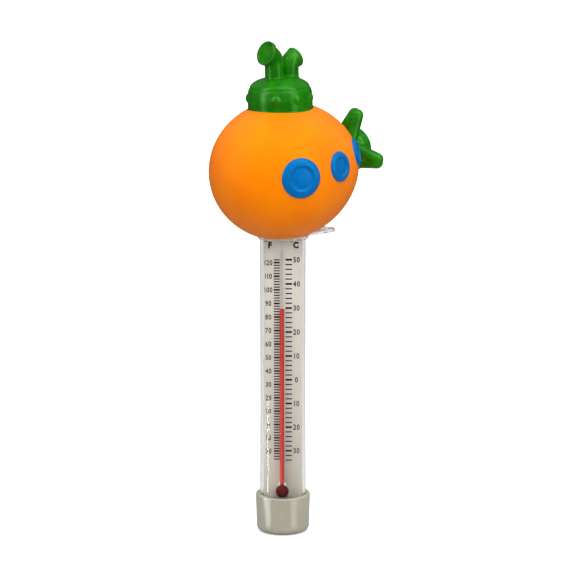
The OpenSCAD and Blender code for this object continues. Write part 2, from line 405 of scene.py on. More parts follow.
# -------------------------------- the float
def hull_piece():
    """The hollow hull: its outer skin, the seat and sleeve for the tube, and its inner skin."""
    directions = around(256)
    centre = FLOAT_HEIGHT * UP

    def mouth(radius, inset=0.0):
        return reach(centre + radius * directions, -UP, inset)

    def dome(rim, inset, rows):
        tilt = np.arctan2(np.hypot(rim[:, 0], rim[:, 1]), rim[:, 2] - FLOAT_HEIGHT)
        rings = [reach(centre[None], UP[None], inset)]
        for row in range(1, rows + 1):
            angle = (tilt * row / rows)[:, None]
            rings.append(reach(centre, np.sin(angle) * directions + np.cos(angle) * UP, inset))
        return rings

    def ring(radius, height):
        return radius * directions + height * UP

    lip = 0.4
    rim = mouth(SEAT_RADIUS + lip)
    corner = mouth(SEAT_RADIUS)
    bore = TUBE_RADIUS + FIT_GAP
    inner_rim = mouth(SLEEVE_RADIUS, FLOAT_WALL)
    rings = dome(rim, 0.0, 150)
    rings += bent(rim, corner, corner + lip * UP, 5)
    rings += [corner + lip * UP, ring(SEAT_RADIUS, SEAT_TOP), ring(bore, SEAT_TOP)]
    rings += [ring(bore, SLEEVE_TOP), ring(SLEEVE_RADIUS, SLEEVE_TOP)]
    rings += dome(inner_rim, FLOAT_WALL, 60)[::-1]
    return skin("hull_vinyl", rings)


def rivet_reach(angles, heights):
    """How far from the tower's axis the rivet heads reach, along each direction and height."""
    centre = BAND_RADIUS + RIVET_PROUD - RIVET_BALL
    furthest = np.zeros_like(angles)
    for turn in RIVET_TURNS:
        offset = angles - (math.pi + turn * RIVET_PITCH)
        room = RIVET_BALL**2 - (heights - RIVET_HEIGHT) ** 2 - (centre * np.sin(offset)) ** 2
        facing = (room > 0) & (np.cos(offset) > 0)
        reached = centre * np.cos(offset) + np.sqrt(np.maximum(room, 0))
        furthest = np.where(facing, np.maximum(furthest, reached), furthest)
    return furthest


def soft_maximum(a, b, width):
    """The larger of two lengths, with a fillet of about that width where they cross."""
    near = np.maximum(width - np.abs(a - b), 0) / width
    return np.maximum(a, b) + near * near * width / 4


def on_hull_top(points):
    """Points in the tower's frame dropped or lifted along its axis onto the hull's top."""
    inside = points.copy()
    inside[:, 2] = 5.0
    start = moved(inside, TOWER_FRAME)
    axis = np.array(TOWER_FRAME.to_3x3() @ Vector(UP))
    return moved(reach(start, axis[None]), TOWER_FRAME.inverted())


def tower_piece():
    """The conning tower: a domed crown, a rounded shoulder and a band with eight rivets."""
    directions = around(480)
    angles = np.arctan2(directions[:, 1], directions[:, 0])

    def crown(inset, steps):
        return [
            ((RIDGE_RADIUS - inset) * math.cos(a), RIDGE_HEIGHT - inset + CROWN_RISE * math.sin(a))
            for a in np.linspace(90, 3, steps) * DEGREE
        ]

    def shoulder(inset, steps):
        return [
            (
                RIDGE_RADIUS - inset + (BAND_RADIUS - RIDGE_RADIUS) * math.cos(a),
                SHOULDER_FOOT + (RIDGE_HEIGHT - inset - SHOULDER_FOOT) * math.sin(a),
            )
            for a in np.linspace(88, 0, steps) * DEGREE
        ]

    def turned(profile):
        return [radius * directions + height * UP for radius, height in profile]

    def on_hull(radius):
        return on_hull_top(radius * directions)

    def riveted(ring):
        radius = np.hypot(ring[:, 0], ring[:, 1])
        reached = rivet_reach(angles, ring[:, 2])
        grown = np.where(reached > 0, soft_maximum(radius, reached, 0.3), radius)
        return grown[:, None] * directions + ring[:, 2:] * UP

    fillet = 0.35
    rings = [np.array([[0, 0, RIDGE_HEIGHT + CROWN_RISE]])]
    rings += turned(crown(0, 26)[1:])
    rings += [riveted(ring) for ring in turned(shoulder(0, 42))]
    band_top = BAND_RADIUS * directions + SHOULDER_FOOT * UP
    band_foot = on_hull(BAND_RADIUS) + fillet * UP
    rings += [riveted(ring) for ring in between(band_top, band_foot, 18)]
    rings += [band_foot]
    rings += bent(band_foot, on_hull(BAND_RADIUS), on_hull(BAND_RADIUS + fillet), 4)
    base = on_hull(BAND_RADIUS + fillet) + FIT_GAP * UP
    inner_foot = on_hull(BAND_RADIUS - FLOAT_WALL) + FIT_GAP * UP
    rings += [base] + between(base, inner_foot, 4) + [inner_foot]
    rings += turned(shoulder(FLOAT_WALL, 12)[::-1] + crown(FLOAT_WALL, 12)[:0:-1])
    rings += [np.array([[0, 0, RIDGE_HEIGHT - FLOAT_WALL + CROWN_RISE]])]
    return skin("tower_shell", [moved(ring, TOWER_FRAME) for ring in rings])


def crown_height(points):
    """The height of the tower's crown over points in the tower's frame."""
    share = np.hypot(points[:, 0], points[:, 1]) / RIDGE_RADIUS
    return RIDGE_HEIGHT + CROWN_RISE * np.sqrt(1 - np.minimum(share, 1) ** 2)


def cowl_piece(name, place, corner_height, facing, face_radius, face_reach, rim):
    """A ventilator cowl: an upright stem, a bend and a flared mouth with a dished face."""
    directions = around(96)
    bend = math.pi / 2 - FACE_TILT
    bend_length = BEND_RADIUS * math.tan(bend / 2)
    bend_foot = corner_height - bend_length
    mouth_length = face_reach - bend_length
    stand = Matrix.Translation((place, 0, 0)) @ Matrix.Rotation(facing, 4, "Z")

    def on_crown(radius):
        ring = moved(radius * directions, stand)
        ring[:, 2] = crown_height(ring) + FIT_GAP
        return moved(ring, stand.inverted())

    def leaning(radius, angle, length):
        centre = np.array([BEND_RADIUS * (1 - math.cos(angle)), 0, bend_foot + BEND_RADIUS * math.sin(angle)])
        ahead = np.array([math.sin(angle), 0, math.cos(angle)])
        across = np.array([math.cos(angle), 0, -math.sin(angle)])
        side = np.array([0, 1, 0])
        ring = centre + ahead * length + radius * (directions[:, :1] * across + directions[:, 1:2] * side)
        return ring if radius > 1e-6 else ring[:1]

    fillet = 0.7
    foot = on_crown(COWL_RADIUS + fillet)
    corner = on_crown(COWL_RADIUS)
    stem_foot = corner + 1.2 * fillet * UP
    stem_top = COWL_RADIUS * directions + bend_foot * UP
    mouth = rounded([
        (COWL_RADIUS, 0, 0),
        (face_radius - 0.1, mouth_length - rim, 0.4),
        (face_radius, mouth_length, 0.38),
        (face_radius - 0.85, mouth_length, 0.25),
        (face_radius - 1.25, mouth_length - 0.55, 0.4),
        (0, mouth_length - 0.62, 0),
    ], steps=5)
    rings = [on_crown(0.0)[:1], foot] + bent(foot, corner, stem_foot, 5)
    rings += [stem_foot] + between(stem_foot, stem_top, 12)
    rings += [leaning(COWL_RADIUS, bend * k / 20, 0) for k in range(20)]
    rings += [leaning(radius, bend, length) for radius, length in mouth]
    return skin(name, [moved(ring, TOWER_FRAME @ stand) for ring in rings], sharp=60)


def lobe_shape(inset, spread_side):
    """The two ends of a lobe in its blade's frame, each a centre and a radius."""
    root = Vector((0, spread_side * ROOT_SPREAD, BLADE_ROOT))
    tip = Vector((0, spread_side * TIP_SPREAD, BLADE_LENGTH))
    return (root, ROOT_RADIUS - inset), (tip, TIP_RADIUS - inset)


def rod(name, matrix, first, last):
    """A rounded rod between two balls, each a centre and a radius."""
    (start, start_radius), (end, end_radius) = first, last
    length = (end - start).length
    low = [point_on(start_radius, 0, a) for a in np.linspace(-90, 0, 10) * DEGREE]
    high = [point_on(end_radius, length, a) for a in np.linspace(0, 90, 10) * DEGREE]
    turned = (end - start).to_track_quat("Z", "Y").to_matrix().to_4x4()
    return lathe(name, low + high, 40, matrix @ Matrix.Translation(start) @ turned)


def propeller_piece():
    """Hub and four blades of two lobes each, run together and cut to the hull's tail."""
    axis = HULL_FRAME @ Matrix.Translation((0, 0, PROPELLER_LIFT))
    hub_shape = [(HUB_RADIUS * math.cos(a), HUB_FLATNESS * HUB_RADIUS * math.sin(a))
        for a in np.linspace(-90, 90, 40) * DEGREE]
    lengthwise = axis @ Matrix.Translation((HUB_STATION, 0, 0)) @ Matrix.Rotation(math.pi / 2, 4, "Y")
    parts = [lathe("hub", hub_shape, 80, lengthwise)]
    for quarter in range(4):
        blade = (
            axis
            @ Matrix.Translation((BLADE_STATION, 0, 0))
            @ Matrix.Rotation(quarter * math.pi / 2 + PROPELLER_TURN, 4, "X")
            @ Matrix.Rotation(BLADE_RAKE, 4, "Y")
        )
        for side in (-1, 1):
            parts.append(rod("lobe", blade, *lobe_shape(0, side)))
        for share in np.linspace(-1, 1, 7):
            parts.append(rod("web", blade, *lobe_shape(WEB_INSET, share)))
    rough = piece("propeller_lobes", joined("propeller_lobes", parts))
    remesh = rough.modifiers.new("remesh", "REMESH")
    remesh.mode = "VOXEL"
    remesh.voxel_size = 0.3 * MM
    smooth = rough.modifiers.new("smooth", "SMOOTH")
    smooth.factor = 0.5
    smooth.iterations = 5
    tail = hull_cutter()
    cut = rough.modifiers.new("cut", "BOOLEAN")
    cut.operation = "DIFFERENCE"
    cut.solver = "MANIFOLD"
    cut.object = tail
    made = piece("propeller_screw", settled(rough), sharp=60)
    discard(rough)
    discard(tail)
    return made


def hull_cutter():
    """The hull's outer skin as a plain closed solid, to cut the propeller with."""
    t = -np.cos(np.linspace(0, math.pi, 80))
    profile = [(float(hull_radius(s)), s) for s in t * (HULL_HALF_LENGTH + FIT_GAP)]
    return lathe("tail_cutter", profile, 160, HULL_FRAME @ Matrix.Rotation(math.pi / 2, 4, "Y"))


def porthole_rise(u):
    """Height of a porthole above the hull, from its middle at u = 0 to its edge at u = 1."""
    if u < DISH_EDGE:
        return DISH_RISE
    if u < RING_START:
        climb = (u - DISH_EDGE) / (RING_START - DISH_EDGE)
        return DISH_RISE + (RING_RISE - DISH_RISE) * (1 - math.cos(math.pi * climb)) / 2
    if u < RING_END:
        return RING_RISE
    return RING_RISE * math.sqrt(max(1 - ((u - RING_END) / (1 - RING_END)) ** 2, 0))


def porthole_piece(index, side_name, side):
    """A round blue porthole with a raised ring and a dished middle, laid on the hull's curve."""
    station = PORTHOLE_STATION[index] + (PORT_SHIFT if side_name == "port" else 0)
    height = PORTHOLE_HEIGHT[index]
    radius = PORTHOLE_RADIUS[index]
    hull_here = float(hull_radius(station))
    slope = float(hull_radius(station + 0.1) - hull_radius(station - 0.1)) / 0.2
    across = side * math.sqrt(hull_here**2 - height**2)
    middle = Vector((station, across, height))
    outward = Vector((-slope, across / hull_here, height / hull_here)).normalized()
    turned = outward.to_track_quat("Z", "Y").to_matrix().to_4x4()
    place = HULL_FRAME @ Matrix.Translation(middle) @ turned
    normal = np.array(place.to_3x3() @ Vector(UP))
    directions = around(128)

    def on_skin(u, rise):
        ring = moved(radius * u * directions if u > 0 else np.zeros((1, 3)), place)
        return reach(ring - 8 * normal, normal[None], far=20.0) + rise * normal

    edge = RING_END + (1 - RING_END) * np.sin(np.linspace(0.15, math.pi / 2, 12))
    shares = np.concatenate([np.linspace(0, 0.48, 9), np.linspace(DISH_EDGE, 0.78, 26), edge])
    rings = [on_skin(u, porthole_rise(u)) for u in shares]
    rings += [on_skin(u, FIT_GAP) for u in np.linspace(0.97, 0, 10)]
    name = f"porthole_{side_name}_{PORTHOLE_NAMES[index]}_ring"
    return skin(name, rings, sharp=60)


# -------------------------------- tube, collar and cap
def tube_piece():
    """The clear tube, slightly wider at its foot, with rounded ends."""
    foot = TUBE_FOOT_RADIUS - FIT_GAP
    profile = rounded([
        (foot, CAP_FLOOR + 0.1, 0.3),
        (foot, CAP_HEIGHT, 0),
        (TUBE_RADIUS, FLARE_HEIGHT, 0),
        (TUBE_RADIUS, TUBE_TOP, 0.3),
        (TUBE_RADIUS - TUBE_WALL, TUBE_TOP, 0.3),
        (TUBE_RADIUS - TUBE_WALL, FLARE_HEIGHT, 0),
        (foot - TUBE_WALL, CAP_HEIGHT, 0),
        (foot - TUBE_WALL, CAP_FLOOR + 0.1, 0.3),
    ], steps=4)
    return skin("tube_clear", lathe_rings(supported(profile, closed=True), 192), loop=True, sharp=50)


def outline(curve, points):
    """Adds one closed outline to a flat curve."""
    spline = curve.splines.new("POLY")
    spline.points.add(len(points) - 1)
    for target, (x, y) in zip(spline.points, points):
        target.co = (x * MM, y * MM, 0, 1)
    spline.use_cyclic_u = True


def arc(centre_x, radius, first, last, steps):
    """Points along an arc about a centre on the X axis. Angles are in degrees."""
    return [
        (centre_x + radius * math.cos(a), radius * math.sin(a))
        for a in np.linspace(first, last, steps) * DEGREE
    ]


def collar_piece():
    """The collar round the tube and its ear, with soft edges and a round eye."""
    edge = 0.25
    curve = bpy.data.curves.new("collar_outline", "CURVE")
    curve.dimensions = "2D"
    curve.fill_mode = "BOTH"
    curve.extrude = (COLLAR_THICKNESS / 2 - edge) * MM
    curve.bevel_depth = edge * MM
    curve.bevel_resolution = 3
    curve.offset = -edge * MM
    root = math.degrees(math.asin(EAR_RADIUS / COLLAR_RADIUS))
    ear = arc(EYE_DISTANCE, EAR_RADIUS, -90, 90, 40)
    ring = arc(0, COLLAR_RADIUS, root + 9, 351 - root, 120)
    root_x = COLLAR_RADIUS * math.cos(root * DEGREE) + 1.8
    outline(curve, [(root_x, -EAR_RADIUS)] + ear + [(root_x, EAR_RADIUS)] + ring)
    outline(curve, arc(0, TUBE_RADIUS + FIT_GAP, 360, 3, 120))
    outline(curve, arc(EYE_DISTANCE, EYE_RADIUS, 360, 7.5, 48))
    drawn = add_object("collar_outline", curve)
    mesh = settled(drawn)
    discard(drawn)
    lift = Matrix.Translation((0, 0, (COLLAR_HEIGHT + COLLAR_THICKNESS / 2) * MM))
    mesh.transform(lift @ Matrix.Rotation(math.pi / 2 - NOSE_HEADING, 4, "Z"))
    weld(mesh)
    return piece("collar_ear", mesh, sharp=50)


def cap_piece():
    """The foot cap: a tapered cup with a soft bottom edge and a rounded rim."""
    bore = TUBE_FOOT_RADIUS
    profile = rounded([
        (0, 0, 0),
        (CAP_FOOT_RADIUS - 0.03, 0, CAP_ROUND),
        (CAP_RIM_RADIUS, CAP_HEIGHT, 0.45),
        (bore, CAP_HEIGHT, 0.25),
        (bore, CAP_FLOOR, 0.4),
        (0, CAP_FLOOR, 0),
    ], steps=6)
    return skin("cap_cup", lathe_rings(supported(profile), 192), sharp=50)


# -------------------------------- the thermometer
def stem_piece():
    """The glass stem: a bulb, a flared shoulder over the neck, the rod and its sealed top."""
    bulb = BULB_RADIUS + GLASS_WALL
    shoulder = [(2.1, 2.45), (1.85, 2.9), (1.62, 3.5), (1.5, 4.2), (STEM_RADIUS, 5.0)]
    outer = [point_on(bulb, BULB_HEIGHT, a) for a in np.linspace(-90, 38, 30) * DEGREE]
    outer += [(radius, BULB_HEIGHT + rise) for radius, rise in shoulder]
    outer += [(STEM_RADIUS, z) for z in np.linspace(26, STEM_TOP, 20)]
    outer += [point_on(STEM_RADIUS, STEM_TOP, a) for a in np.linspace(12, 90, 8) * DEGREE]
    inner = [point_on(BORE_RADIUS, STEM_TOP - 1, a) for a in np.linspace(90, 0, 6) * DEGREE]
    inner += [(BORE_RADIUS, NECK_TOP), (NECK_BORE, NECK_TOP - 0.2)]
    inner += [point_on(BULB_RADIUS, BULB_HEIGHT, a) for a in np.linspace(71, -90, 30) * DEGREE]
    body, hollow = (
        skin("shell", lathe_rings(profile, 64, STEM_AXIS))
        for profile in (outer, supported(inner))
    )
    hollow.data.flip_normals()
    mesh = joined("stem_glass", [body, hollow])
    mesh.shade_smooth()
    return add_object("stem_glass", mesh)


def bulb_piece():
    """The spirit in the bulb and its thin neck."""
    fill = BULB_RADIUS - FIT_GAP
    neck = NECK_BORE - FIT_GAP
    profile = [point_on(fill, BULB_HEIGHT, a) for a in np.linspace(-90, 70, 40) * DEGREE]
    profile += [(neck, BULB_HEIGHT + fill + 0.1), (neck, NECK_TOP - 0.3), (0, NECK_TOP - 0.25)]
    return skin("bulb_spirit", lathe_rings(profile, 64, STEM_AXIS), sharp=60)


def thread_piece():
    """The red thread. It has only end rings, so that it stretches evenly with the reading."""
    profile = [(THREAD_RADIUS, NECK_TOP), (THREAD_RADIUS, THREAD_TOP)]
    low, high = lathe_rings(profile, 48, STEM_AXIS)
    count = len(low)
    faces = [[i, (i + 1) % count, count + (i + 1) % count, count + i] for i in range(count)]
    faces += [list(range(count))[::-1], list(range(count, 2 * count))]
    return piece("thread_spirit", new_mesh("thread_spirit", np.vstack([low, high]), faces))


def meniscus_piece():
    """The curved top of the thread."""
    crown = 0.25
    profile = [(0, MENISCUS_FOOT), (THREAD_RADIUS, MENISCUS_FOOT), (THREAD_RADIUS, MENISCUS_TOP - crown)]
    profile += [(THREAD_RADIUS * math.cos(a), MENISCUS_TOP - crown + crown * math.sin(a))
        for a in np.linspace(10, 80, 8) * DEGREE]
    profile += [(0, MENISCUS_TOP)]
    return skin("meniscus_spirit", lathe_rings(profile, 48, STEM_AXIS))


# -------------------------------- the printed scale
def boxes(name, bars):
    """Thin printed bars on the card, each as (left, right, bottom, top)."""
    points, faces = [], []
    back = CARD_FRONT + PRINT_SINK
    front = CARD_FRONT - PRINT_DEPTH
    sides = [(0, 1, 2, 3), (7, 6, 5, 4), (0, 4, 5, 1), (1, 5, 6, 2), (2, 6, 7, 3), (3, 7, 4, 0)]
    for left, right, bottom, top in bars:
        first = len(points)
        for y in (front, back):
            points += [(left, y, bottom), (right, y, bottom), (right, y, top), (left, y, top)]
        faces += [[first + k for k in side] for side in sides]
    return piece(name, new_mesh(name, points, faces))


def celsius_height(value):
    return ZERO_CELSIUS + DEGREE_CELSIUS * value


def fahrenheit_height(value):
    return FAHRENHEIT_120 + FAHRENHEIT_STEP * (value - 120)


def tick_bars(values, height_of, span):
    """Tick marks across a span, bold at every ten degrees."""
    bars = []
    for value in values:
        half = BOLD_TICK if value % 10 == 0 else PLAIN_TICK
        height = height_of(value)
        bars.append((*span, height - half, height + half))
    return bars


def glyph(character, weight):
    """One character as flat-sided geometry of height 1: its points and its faces."""
    curve = bpy.data.curves.new("glyph", "FONT")
    curve.body = character
    curve.extrude = 0.5
    curve.offset = weight
    curve.resolution_u = 4
    drawn = add_object("glyph", curve)
    mesh = settled(drawn)
    discard(drawn)
    weld(mesh)
    points = np.array([v.co for v in mesh.vertices])
    faces = [list(face.vertices) for face in mesh.polygons]
    bpy.data.meshes.remove(mesh)
    low, high = points.min(0), points.max(0)
    points[:, :2] = (points[:, :2] - low[:2]) / (high[1] - low[1])
    return points, faces


def lettering(name, entries, height, squeeze, weight, gap):
    """Words printed on the card. Each entry is (text, middle x, bottom z).

    Squeeze narrows the characters, weight thickens them and gap is the space between them.
    """
    glyphs = {c: glyph(c, weight) for c in sorted({c for text, _, _ in entries for c in text})}
    points, faces = [], []
    for text, middle, bottom in entries:
        widths = [glyphs[c][0][:, 0].max() * height * squeeze for c in text]
        cells = [max(width, NARROWEST * height) for width in widths]
        pen = middle - (sum(cells) + gap * (len(text) - 1)) / 2
        for c, width, cell in zip(text, widths, cells):
            shape, sides = glyphs[c]
            first = sum(len(p) for p in points)
            placed = np.empty_like(shape)
            placed[:, 0] = pen + (cell - width) / 2 + shape[:, 0] * height * squeeze
            placed[:, 1] = CARD_FRONT - (shape[:, 2] + 0.5) * PRINT_DEPTH + PRINT_SINK
            placed[:, 2] = bottom + shape[:, 1] * height
            points.append(placed)
            faces += [[first + k for k in side] for side in sides]
            pen += cell + gap
    return piece(name, new_mesh(name, np.vstack(points), faces))


def degree_rings():
    """The two small rings of the degree signs."""
    outer, inner = DEGREE_SIGN_RADIUS
    section = ((outer, PRINT_SINK), (outer, -PRINT_DEPTH), (inner, -PRINT_DEPTH), (inner, PRINT_SINK))
    upright = around(32)[:, [0, 2, 1]]
    signs = []
    for x in DEGREE_SIGNS:
        middle = np.array([x, CARD_FRONT, DEGREE_SIGN_HEIGHT])
        rings = [middle + radius * upright + y * np.array([0, 1, 0]) for radius, y in section]
        signs.append(skin("ring", rings, loop=True))
    return piece("print_degree_rings", joined("print_degree_rings", signs))


# -------------------------------- materials
def add_node(tree, kind, *sources, **values):
    """A new node with some values of its own, and with sources linked to its first inputs."""
    made = tree.nodes.new(kind)
    for key, value in values.items():
        setattr(made, key, value)
    for source, target in zip(sources, made.inputs):
        tree.links.new(source, target)
    return made


def ranged(tree, source, low, high, start=0.0, end=1.0):
    """A value that goes from low to high as the source goes from start to end."""
    made = add_node(tree, "ShaderNodeMapRange", source)
    for target, value in zip(made.inputs[1:5], (start, end, low, high)):
        target.default_value = value
    return made.outputs["Result"]


class Paint:
    """A material under construction, with short ways to add the nodes it needs."""

    def __init__(self, name):
        self.material = bpy.data.materials.new(name)
        self.material.use_nodes = True
        self.tree = self.material.node_tree
        self.shader = self.tree.nodes["Principled BSDF"]
        self.place = self.tree.nodes.new("ShaderNodeTexCoord").outputs["Object"]

    def link(self, source, target):
        self.tree.links.new(source, target)

    def node(self, kind, *sources, **values):
        return add_node(self.tree, kind, *sources, **values)

    def set(self, **values):
        """Sets plain values on the shader's own sockets. An underscore stands for a space."""
        for key, value in values.items():
            self.shader.inputs[key.replace("_", " ")].default_value = value

    def stretched(self, scale):
        mapping = self.node("ShaderNodeMapping", self.place)
        mapping.inputs["Scale"].default_value = scale
        return mapping.outputs["Vector"]

    def noise(self, size, detail=3.0, stretch=None):
        """Soft noise whose features are about size millimetres across."""
        made = self.node("ShaderNodeTexNoise", self.stretched(stretch) if stretch else self.place)
        made.inputs["Scale"].default_value = 1 / (size * MM)
        made.inputs["Detail"].default_value = detail
        return made.outputs["Fac"]

    def ranged(self, source, low, high, start=0.35, end=0.65):
        return ranged(self.tree, source, low, high, start, end)

    def mixed(self, factor, first, second):
        """A colour between two, each a colour or a socket."""
        made = self.node("ShaderNodeMix", data_type="RGBA")
        self.link(factor, made.inputs["Factor"])
        for colour, target in ((first, made.inputs["A"]), (second, made.inputs["B"])):
            if isinstance(colour, tuple):
                target.default_value = (*colour, 1)
            else:
                self.link(colour, target)
        return made.outputs["Result"]

    def maths(self, operation, first, second):
        made = self.node("ShaderNodeMath", operation=operation)
        for value, target in ((first, made.inputs[0]), (second, made.inputs[1])):
            if isinstance(value, (int, float)):
                target.default_value = value
            else:
                self.link(value, target)
        return made.outputs[0]

    def relief(self, source, depth, under=None):
        """Bumps of that depth in millimetres, over another relief if there is one."""
        bump = self.node("ShaderNodeBump")
        bump.inputs["Distance"].default_value = depth * MM
        self.link(source, bump.inputs["Height"])
        if under is not None:
            self.link(under, bump.inputs["Normal"])
        return bump.outputs["Normal"]

    def colour(self, source):
        self.link(source, self.shader.inputs["Base Color"])

    def over(self, factor, colour):
        """Lays a colour over the one that the surface has so far."""
        so_far = self.shader.inputs["Base Color"].links[0].from_socket
        self.colour(self.mixed(factor, so_far, colour))

    def rough(self, source):
        self.link(source, self.shader.inputs["Roughness"])

    def normal(self, source):
        self.link(source, self.shader.inputs["Normal"])


def moulded(name, light, dark, patch, gloss, grain, wave, **plain):
    """A moulded or painted surface: two tones in soft patches, uneven gloss and a fine grain.

    The grain and the slower wave are each (size, depth). Other values go to the shader.
    """
    paint = Paint(name)
    paint.colour(paint.mixed(paint.ranged(paint.noise(patch), 0, 1), light, dark))
    paint.rough(paint.ranged(paint.noise(patch / 3), *gloss))
    slow = paint.relief(paint.noise(wave[0], 1.0), wave[1])
    paint.normal(paint.relief(paint.noise(grain[0], 2.0), grain[1], slow))
    paint.set(**plain)
    return paint


def near(paint, spot, radius, edge):
    """1 within radius of a spot on the part, falling to 0 over edge, with a ragged outline."""
    offset = paint.node("ShaderNodeVectorMath", paint.place, operation="DISTANCE")
    offset.inputs[1].default_value = [c * MM for c in spot]
    ragged = paint.maths("MULTIPLY", paint.noise(0.9, 2.0), edge * MM)
    length = paint.maths("ADD", offset.outputs["Value"], ragged)
    return paint.ranged(length, 1, 0, radius * MM, (radius + edge) * MM)


# Places on the part: a stray speck on the hull, and the worn spots with their radii
SPECK = (-6.5, -30.7, 153.7)
WORN_SPOTS = [((-3.9, -8.0, 210.0), 0.8), ((-3.7, -8.9, 208.8), 0.6), ((34.4, 16.5, 160.2), 0.9)]


def vinyl_orange():
    """Orange vinyl with a satin gloss and one stray speck of green paint."""
    paint = moulded("vinyl_orange", (0.93, 0.225, 0.001), (0.90, 0.195, 0.001), 14.0,
        (0.42, 0.5), (0.35, 0.006), (16.0, 0.03),
        Specular_IOR_Level=0.25, Specular_Tint=(1.0, 0.5, 0.05, 1))
    paint.over(near(paint, SPECK, 0.12, 0.5), (0.05, 0.11, 0.01))
    return paint.material


def worn_green():
    """Glossy green paint, rubbed through to the orange vinyl at a few spots."""
    paint = moulded("paint_green", (0.01, 0.2, 0.0), (0.004, 0.125, 0.0), 6.0,
        (0.23, 0.3), (0.8, 0.004), (5.0, 0.03),
        Specular_IOR_Level=0.45, Specular_Tint=(0.55, 1.0, 0.4, 1))
    for spot, radius in WORN_SPOTS:
        patch = paint.ranged(paint.noise(0.8, 3.0), 0, 1, 0.4, 0.55)
        bare = paint.maths("MULTIPLY", near(paint, spot, radius, 0.8 * radius), patch)
        paint.over(paint.maths("MULTIPLY", bare, 0.6), (0.5, 0.085, 0.008))
    return paint.material


def paint_blue():
    return moulded("paint_blue", (0.0, 0.135, 0.42), (0.0, 0.12, 0.38), 5.0,
        (0.26, 0.34), (0.7, 0.004), (4.0, 0.02),
        Specular_IOR_Level=0.4, Specular_Tint=(0.1, 0.6, 1.0, 1)).material


def cap_grey():
    """Glossy grey plastic with faint upright streaks."""
    paint = moulded("cap_grey", (0.38, 0.365, 0.29), (0.35, 0.335, 0.265), 9.0,
        (0.2, 0.26), (0.3, 0.0008), (7.0, 0.01), Specular_IOR_Level=0.6)
    streaks = paint.noise(2.0, 3.0, (1, 1, 0.08))
    paint.over(paint.ranged(streaks, 0, 0.5), (0.33, 0.32, 0.25))
    return paint.material


def card_white():
    """Off-white card with faint fibres, and painted shade that greys it towards its foot."""
    paint = moulded("card_white", (0.64, 0.60, 0.535), (0.61, 0.57, 0.505), 8.0,
        (0.5, 0.6), (0.3, 0.004), (10.0, 0.02), Specular_IOR_Level=0.05)
    fibre = paint.noise(0.5, 4.0, (1, 1, 0.3))
    paint.over(paint.ranged(fibre, 0, 0.35), (0.58, 0.535, 0.475))
    # Painted shade: the card darkens steadily from 115 mm high down to 15 mm, near its foot.
    height = paint.node("ShaderNodeSeparateXYZ", paint.place)
    painted_shade = paint.ranged(height.outputs["Z"], 1, 0, 15 * MM, 115 * MM)
    paint.over(painted_shade, (0.37, 0.34, 0.29))
    return paint.material


def print_black():
    return moulded("print_black", (0.006, 0.005, 0.004), (0.02, 0.018, 0.015), 0.6,
        (0.6, 0.75), (0.2, 0.003), (2.0, 0.004), Specular_IOR_Level=0.05).material


def spirit_red():
    return moulded("spirit_red", (0.43, 0.03, 0.018), (0.39, 0.024, 0.015), 7.0,
        (0.12, 0.2), (0.6, 0.002), (3.0, 0.004), Specular_IOR_Level=0.12).material


def spirit_dark():
    """The same spirit where it is thick, in the bulb and its neck."""
    return moulded("spirit_dark", (0.085, 0.001, 0.002), (0.065, 0.001, 0.002), 2.0,
        (0.08, 0.14), (0.6, 0.002), (2.0, 0.01), Specular_IOR_Level=0.0).material


def tube_plastic():
    """Clear plastic that bends light, with slow ripples, and lets light from lamps through."""
    tint = (0.985, 0.985, 0.985, 1)
    ripple = 0.004
    paint = Paint("tube_plastic")
    paint.set(Base_Color=tint, Transmission_Weight=1.0, IOR=1.46, Specular_Tint=(0.12, 0.12, 0.12, 1))
    paint.rough(paint.ranged(paint.noise(6.0), 0.008, 0.016))
    slow = paint.relief(paint.noise(9.0, 1.0, (1, 1, 0.25)), ripple)
    paint.normal(paint.relief(paint.noise(2.5, 1.0), ripple * 0.1, slow))
    through = paint.node("ShaderNodeBsdfTransparent")
    through.inputs["Color"].default_value = tint
    shadow = paint.node("ShaderNodeLightPath").outputs["Is Shadow Ray"]
    both = either(paint.tree, shadow, paint.shader.outputs[0], through.outputs[0])
    paint.link(both, paint.tree.nodes["Material Output"].inputs["Surface"])
    return paint.material


def stem_glass():
    """Thin lead glass: mostly see-through, with a milky edge and a clean gloss."""
    paint = Paint("stem_glass")
    paint.set(Base_Color=(0.8, 0.7, 0.66, 1), IOR=1.5, Specular_IOR_Level=0.15)
    paint.rough(paint.ranged(paint.noise(3.0), 0.03, 0.07))
    paint.normal(paint.relief(paint.noise(4.0, 1.0, (1, 1, 0.2)), 0.004))
    facing = paint.node("ShaderNodeLayerWeight")
    facing.inputs["Blend"].default_value = 0.35
    edge = paint.ranged(facing.outputs["Facing"], 0.004, 0.12, 0.6, 1.0)
    paint.link(edge, paint.shader.inputs["Alpha"])
    return paint.material


def collar_clear():
    """Cloudy, nearly colourless plastic."""
    return moulded("collar_clear", (0.99, 0.97, 0.94), (0.96, 0.94, 0.91), 4.0,
        (0.1, 0.16), (0.5, 0.004), (4.0, 0.03), Transmission_Weight=0.85, IOR=1.45).material


def plug_white():
    return moulded("plug_white", (0.60, 0.60, 0.58), (0.54, 0.54, 0.52), 5.0,
        (0.35, 0.5), (0.4, 0.006), (12.0, 0.03)).material


def foam_grey():
    return moulded("foam_grey", (0.10, 0.10, 0.10), (0.05, 0.05, 0.05), 0.7,
        (0.85, 0.95), (0.45, 0.12), (1.2, 0.1)).material


def steel_slug():
    return moulded("steel_slug", (0.46, 0.45, 0.43), (0.34, 0.33, 0.31), 3.0,
        (0.28, 0.45), (0.3, 0.008), (2.0, 0.01), Metallic=1.0).material


# -------------------------------- the studio
def without(tree, first, second):
    """1 for rays that are of the first kind and not of the second, 0 for all others."""
    return add_node(tree, "ShaderNodeMath", first, second, operation="SUBTRACT", use_clamp=True).outputs[0]


def either(tree, ray, usual, special):
    """A shader that is the special one for one kind of ray and the usual one for all others."""
    return add_node(tree, "ShaderNodeMixShader", ray, usual, special).outputs[0]


